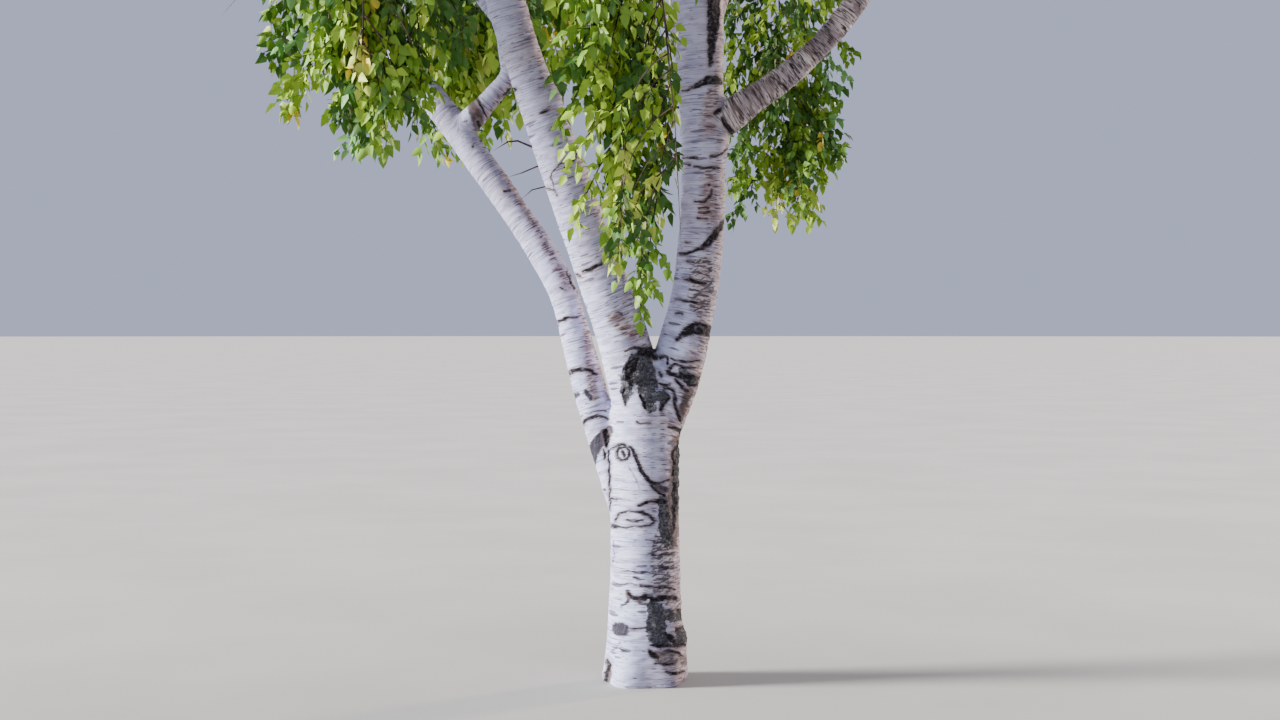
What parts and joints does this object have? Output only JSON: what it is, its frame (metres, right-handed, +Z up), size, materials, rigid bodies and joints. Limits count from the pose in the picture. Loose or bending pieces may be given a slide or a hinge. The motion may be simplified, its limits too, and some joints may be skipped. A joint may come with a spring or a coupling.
{
  "type": "birch tree",
  "caption": "White-barked birch with stems forking low from one flared foot, and airy weeping foliage on its boughs; rooted in the ground.",
  "frame": {"origin": "the middle of the flat cut under the trunk, at ground level", "axes": "+Z is up along the trunk; +X is to the right and +Y is away, as the picture sees the tree"},
  "size_m": [8.3438, 6.708, 11.3765],
  "materials": {
    "white_bark": "papery white bark with dark scars, cracks and rough grey patches",
    "bough_bark": "thin pinkish grey bark with dense short brown ticks",
    "leaves_and_twigs": "soft matt green leaves, a few turned yellow, on fine brown twigs"
  },
  "bodies": {
    "root": {"back_bough": "bough_bark", "back_foliage": "leaves_and_twigs", "back_leader": "bough_bark", "back_leader_foliage": "leaves_and_twigs", "back_leader_side_1_foliage": "leaves_and_twigs", "back_leader_side_2_foliage": "leaves_and_twigs", "back_leader_side_3_foliage": "leaves_and_twigs", "back_leader_side_bough_1": "bough_bark", "back_leader_side_bough_2": "bough_bark", "back_leader_side_bough_3": "bough_bark", "east_bough": "bough_bark", "east_foliage": "leaves_and_twigs", "east_side_1_foliage": "leaves_and_twigs", "east_side_2_foliage": "leaves_and_twigs", "east_side_bough_1": "bough_bark", "east_side_bough_2": "bough_bark", "front_bough": "bough_bark", "front_foliage": "leaves_and_twigs", "front_left_bough": "bough_bark", "front_left_foliage": "leaves_and_twigs", "middle_foliage": "leaves_and_twigs", "middle_side_1_foliage": "leaves_and_twigs", "middle_side_2_foliage": "leaves_and_twigs", "middle_side_3_foliage": "leaves_and_twigs", "middle_side_4_foliage": "leaves_and_twigs", "middle_side_bough_1": "bough_bark", "middle_side_bough_2": "bough_bark", "middle_side_bough_3": "bough_bark", "middle_side_bough_4": "bough_bark", "middle_stem": "white_bark", "right_foliage": "leaves_and_twigs", "right_side_1_foliage": "leaves_and_twigs", "right_side_2_foliage": "leaves_and_twigs", "right_side_3_foliage": "leaves_and_twigs", "right_side_4_foliage": "leaves_and_twigs", "right_side_5_foliage": "leaves_and_twigs", "right_side_6_foliage": "leaves_and_twigs", "right_side_7_foliage": "leaves_and_twigs", "right_side_bough_1": "bough_bark", "right_side_bough_2": "bough_bark", "right_side_bough_3": "bough_bark", "right_side_bough_4": "bough_bark", "right_side_bough_5": "bough_bark", "right_side_bough_6": "bough_bark", "right_side_bough_7": "bough_bark", "right_stem": "white_bark", "riser_bough": "bough_bark", "riser_foliage": "leaves_and_twigs", "trunk": "white_bark", "west_foliage": "leaves_and_twigs", "west_side_1_foliage": "leaves_and_twigs", "west_side_2_foliage": "leaves_and_twigs", "west_side_3_foliage": "leaves_and_twigs", "west_side_bough_1": "bough_bark", "west_side_bough_2": "bough_bark", "west_side_bough_3": "bough_bark", "west_stem": "white_bark"}
  },
  "joints": []
}
